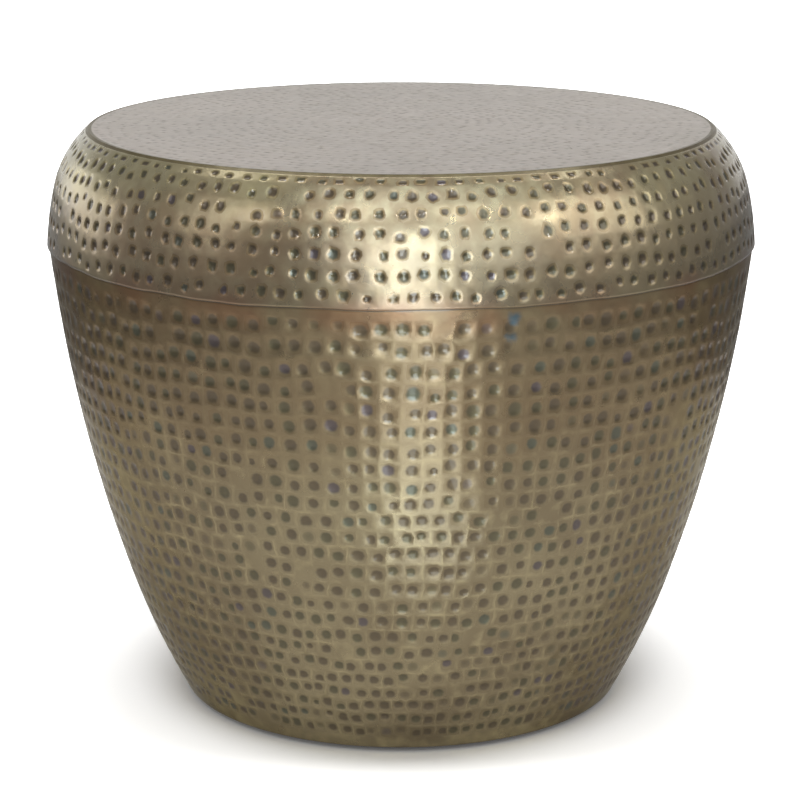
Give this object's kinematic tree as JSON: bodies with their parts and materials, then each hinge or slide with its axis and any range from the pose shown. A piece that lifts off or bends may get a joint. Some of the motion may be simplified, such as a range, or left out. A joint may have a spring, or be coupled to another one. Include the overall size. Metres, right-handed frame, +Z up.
{
  "type": "drum side table",
  "caption": "Hollow drum side table of hand-hammered antique brass sheet: flat round top, rounded shoulder lapped over a wall that tapers to a narrow foot.",
  "frame": {"origin": "on the floor, at the drum's axis", "axes": "+Z up along the drum's axis; -Y is the front; all sides are alike"},
  "size_m": [0.5, 0.5, 0.41],
  "materials": {
    "hammered_brass": "hand-hammered brass sheet with a dark antique patina, satin",
    "brazing_brass": "as-run brazing filler",
    "inner_steel": "mill-finish flat bar, lightly oiled",
    "board_wood": "dark-stained plywood",
    "zinc_steel": "bright zinc-plated steel",
    "glide_plastic": "moulded black polyethylene"
  },
  "bodies": {
    "root": {"top_panel": "hammered_brass", "shoulder_shell": "hammered_brass", "body_shell": "hammered_brass", "foot_hoop": "inner_steel", "lap_braze": "brazing_brass", "panel_braze": "brazing_brass", "top_bearer_long": "inner_steel", "top_bearer_cross": "inner_steel", "base_board": "board_wood", "base_tab_1": "inner_steel", "base_tab_2": "inner_steel", "base_tab_3": "inner_steel", "base_tab_4": "inner_steel", "tab_nuts": "zinc_steel", "base_screws": "zinc_steel", "base_washers": "zinc_steel", "glide_1": "glide_plastic", "glide_2": "glide_plastic", "glide_3": "glide_plastic", "glide_4": "glide_plastic", "glide_screws": "zinc_steel"}
  },
  "joints": []
}
